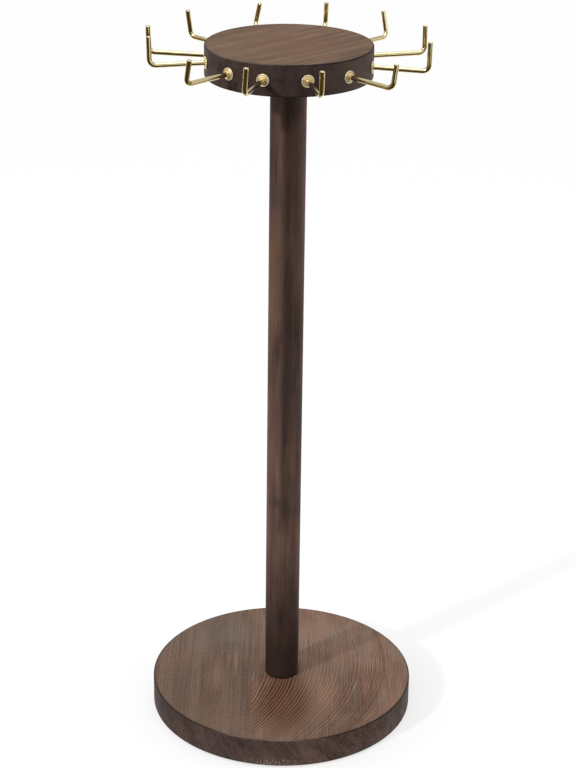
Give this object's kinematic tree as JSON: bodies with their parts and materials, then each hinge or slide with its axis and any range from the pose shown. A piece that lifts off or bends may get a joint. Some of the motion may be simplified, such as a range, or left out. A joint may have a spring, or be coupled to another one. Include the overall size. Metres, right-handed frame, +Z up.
{
  "type": "necklace holder",
  "caption": "Free-standing wooden necklace holder: round base, round column and a round head that turns, ringed with upturned brass wire hooks.",
  "frame": {"origin": "on the table, under the middle of the base, level with the undersides of the pads", "axes": "+Z up along the column, which is also the axis that the head turns on; -Y towards the viewer, +X to the viewer's right"},
  "size_m": [0.172, 0.172, 0.458],
  "materials": {
    "base_wood": "dark walnut stain, satin",
    "column_wood": "dark walnut stain, satin",
    "head_wood": "dark walnut stain, satin",
    "hook_brass": "polished pale gold plating",
    "rosette_brass": "polished pale gold plating",
    "steel": "zinc plated",
    "nylon": "plain nylon",
    "pad_rubber": "matt non-slip"
  },
  "bodies": {
    "stand": {"base_disc": "base_wood", "column": "column_wood", "base_bolt": "steel", "base_washer": "steel", "foot_insert": "steel", "pivot_insert": "steel", "pivot_pin": "steel", "grip_ring": "steel", "thrust_washer": "nylon", "foot_pad_1": "pad_rubber", "foot_pad_2": "pad_rubber", "foot_pad_3": "pad_rubber", "foot_pad_4": "pad_rubber"},
    "head": {"head_disc": "head_wood", "pivot_socket": "steel", "hook_01": "hook_brass", "hook_02": "hook_brass", "hook_03": "hook_brass", "hook_04": "hook_brass", "hook_05": "hook_brass", "hook_06": "hook_brass", "hook_07": "hook_brass", "hook_08": "hook_brass", "hook_09": "hook_brass", "hook_10": "hook_brass", "hook_11": "hook_brass", "hook_12": "hook_brass", "rosette_01": "rosette_brass", "rosette_02": "rosette_brass", "rosette_03": "rosette_brass", "rosette_04": "rosette_brass", "rosette_05": "rosette_brass", "rosette_06": "rosette_brass", "rosette_07": "rosette_brass", "rosette_08": "rosette_brass", "rosette_09": "rosette_brass", "rosette_10": "rosette_brass", "rosette_11": "rosette_brass", "rosette_12": "rosette_brass"}
  },
  "joints": [
    {"name": "head_swivel", "type": "hinge", "parent": "stand", "child": "head", "pos_m": [0, 0, 0.4308], "axis": [0, 0, 1], "continuous": true}
  ]
}
